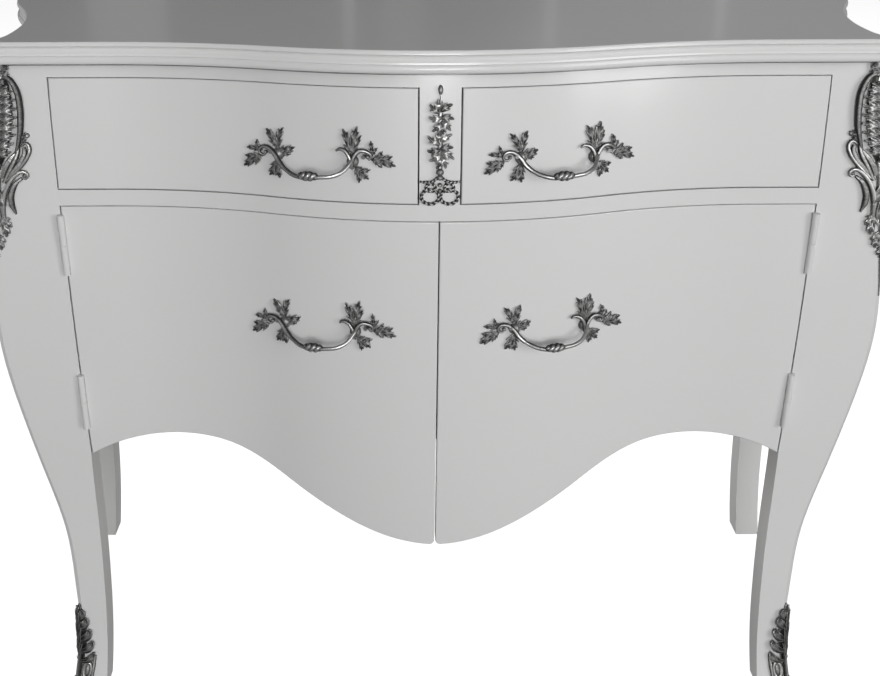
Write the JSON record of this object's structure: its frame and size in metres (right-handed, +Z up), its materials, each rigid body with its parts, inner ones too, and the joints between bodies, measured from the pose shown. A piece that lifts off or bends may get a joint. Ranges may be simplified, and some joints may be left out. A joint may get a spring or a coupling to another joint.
{
  "type": "commode",
  "caption": "Serpentine lacquered commode with drawers above hinged doors, cabriole front legs, waisted rear legs, a moulded top, bow pulls and cast leafy mounts.",
  "frame": {"origin": "on the floor under the middle of the top", "axes": "+X to the right seen from the front, +Z up, the front towards -Y"},
  "size_m": [1.064, 0.518, 0.82],
  "materials": {
    "lacquer": "white gloss lacquer",
    "inner_wood": "bare pale wood",
    "antique_silver": "cast, silvered and darkened in the hollows",
    "hinge_paint": "white gloss paint",
    "steel": "plain"
  },
  "bodies": {
    "carcass": {"back_panel": "inner_wood", "bottom_board": "inner_wood", "corner_mount_left": "antique_silver", "corner_mount_right": "antique_silver", "drawer_guides": "inner_wood", "drawer_kickers": "inner_wood", "drawer_partition": "inner_wood", "drawer_stops": "inner_wood", "drop_ornament": "antique_silver", "dust_board": "inner_wood", "foot_mount_left": "antique_silver", "foot_mount_right": "antique_silver", "front_post_left": "lacquer", "front_post_right": "lacquer", "hinge_frame_leaf_lower_left": "hinge_paint", "hinge_frame_leaf_lower_right": "hinge_paint", "hinge_frame_leaf_upper_left": "hinge_paint", "hinge_frame_leaf_upper_right": "hinge_paint", "hinge_frame_screws": "steel", "hinge_pins": "steel", "mid_rail": "lacquer", "muntin": "lacquer", "rear_leg_left": "lacquer", "rear_leg_right": "lacquer", "rear_top_rail": "inner_wood", "shelf": "inner_wood", "shelf_pins": "steel", "side_panel_left": "lacquer", "side_panel_right": "lacquer", "top_rail": "lacquer", "top_slab": "lacquer"},
    "drawer_left": {"drawer_left_back": "inner_wood", "drawer_left_bottom": "inner_wood", "drawer_left_front": "lacquer", "drawer_left_inner_side": "inner_wood", "drawer_left_outer_side": "inner_wood", "drawer_left_pull": "antique_silver", "drawer_left_pull_screws": "steel"},
    "drawer_right": {"drawer_right_back": "inner_wood", "drawer_right_bottom": "inner_wood", "drawer_right_front": "lacquer", "drawer_right_inner_side": "inner_wood", "drawer_right_outer_side": "inner_wood", "drawer_right_pull": "antique_silver", "drawer_right_pull_screws": "steel"},
    "door_left": {"door_left_hinge_screws": "steel", "door_left_panel": "lacquer", "door_left_pull": "antique_silver", "door_left_pull_screws": "steel", "hinge_door_leaf_lower_left": "hinge_paint", "hinge_door_leaf_upper_left": "hinge_paint"},
    "door_right": {"door_right_hinge_screws": "steel", "door_right_panel": "lacquer", "door_right_pull": "antique_silver", "door_right_pull_screws": "steel", "hinge_door_leaf_lower_right": "hinge_paint", "hinge_door_leaf_upper_right": "hinge_paint"}
  },
  "joints": [
    {"name": "drawer_left_slide", "type": "slide", "parent": "carcass", "child": "drawer_left", "axis": [0, -1, 0], "range_m": [0, 0.28]},
    {"name": "drawer_right_slide", "type": "slide", "parent": "carcass", "child": "drawer_right", "axis": [0, -1, 0], "range_m": [0, 0.28]},
    {"name": "door_left_swing", "type": "hinge", "parent": "carcass", "child": "door_left", "pos_m": [-0.4014, -0.177, 0.6015], "axis": [0, 0.0375, -0.9993], "range_deg": [0, 110]},
    {"name": "door_right_swing", "type": "hinge", "parent": "carcass", "child": "door_right", "pos_m": [0.4014, -0.177, 0.6015], "axis": [0, -0.0375, 0.9993], "range_deg": [0, 110]}
  ]
}
